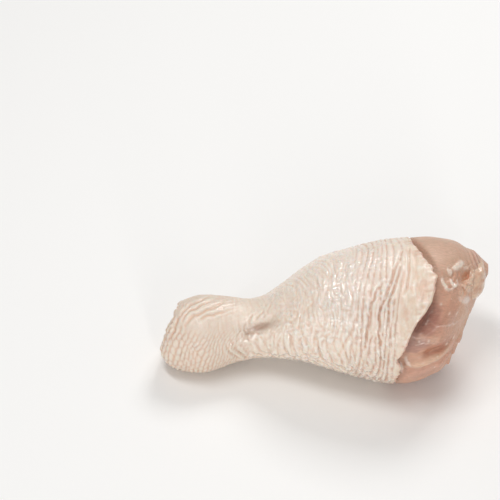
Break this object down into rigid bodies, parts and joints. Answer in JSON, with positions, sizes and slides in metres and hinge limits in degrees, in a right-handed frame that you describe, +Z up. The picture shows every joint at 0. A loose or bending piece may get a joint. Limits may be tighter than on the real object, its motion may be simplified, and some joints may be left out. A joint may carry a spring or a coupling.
{
  "type": "raw chicken drumstick",
  "caption": "Raw chicken drumstick lying on its side: wrinkled pale skin drawn over pink meat, with the cut knee end bare and a cartilage-tipped shin bone running through.",
  "frame": {"origin": "middle of the drumstick's box, on the table surface that it lies on", "axes": "+X from the cut hock joint to the thick knee end, +Y towards the side that the picture hides, +Z up from the table"},
  "size_m": [0.1208, 0.0572, 0.0518],
  "materials": {
    "skin": "wet, wrinkled raw poultry skin",
    "meat": "wet, translucent raw poultry meat under a thin membrane",
    "bone": "smooth wet cartilage over bone"
  },
  "bodies": {
    "root": {"skin": "skin", "meat": "meat", "shin_bone": "bone"}
  },
  "joints": []
}
